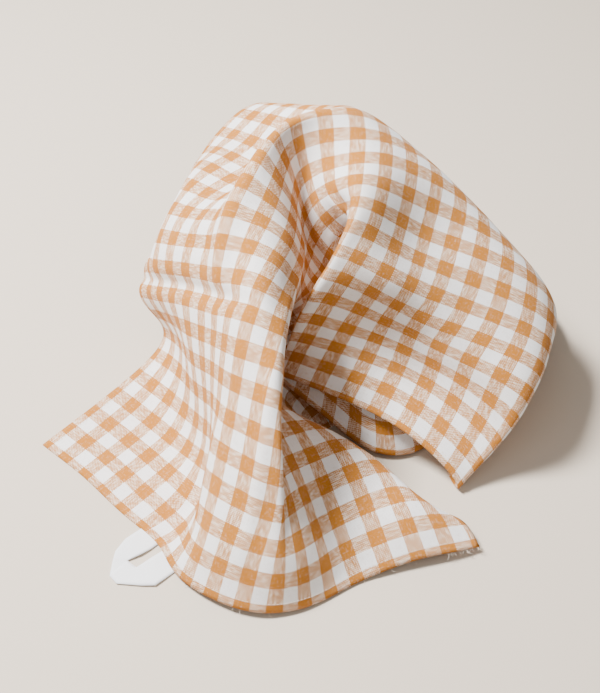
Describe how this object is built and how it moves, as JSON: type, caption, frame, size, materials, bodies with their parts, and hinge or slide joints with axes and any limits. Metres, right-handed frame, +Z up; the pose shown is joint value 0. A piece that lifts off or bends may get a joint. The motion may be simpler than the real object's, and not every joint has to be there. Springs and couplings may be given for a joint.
{
  "type": "tea towel",
  "caption": "Checked linen tea towel lying crumpled as it was dropped, one corner flat on the table and the middle standing up in soft folds, with a bare white tape hanging loop in its hem",
  "frame": {"origin": "middle of the footprint of the part's box, on the surface that the towel lies on", "axes": "+Z up; -Y toward the front hem, which carries the loop; +X toward the right flap"},
  "size_m": [0.4506, 0.4856, 0.2139],
  "materials": {
    "gingham_linen": "matte woven linen, orange and white gingham check",
    "white_tape": "matte white twill tape, bare"
  },
  "bodies": {
    "root": {"towel": "gingham_linen", "hanging_loop": "white_tape"}
  },
  "joints": []
}
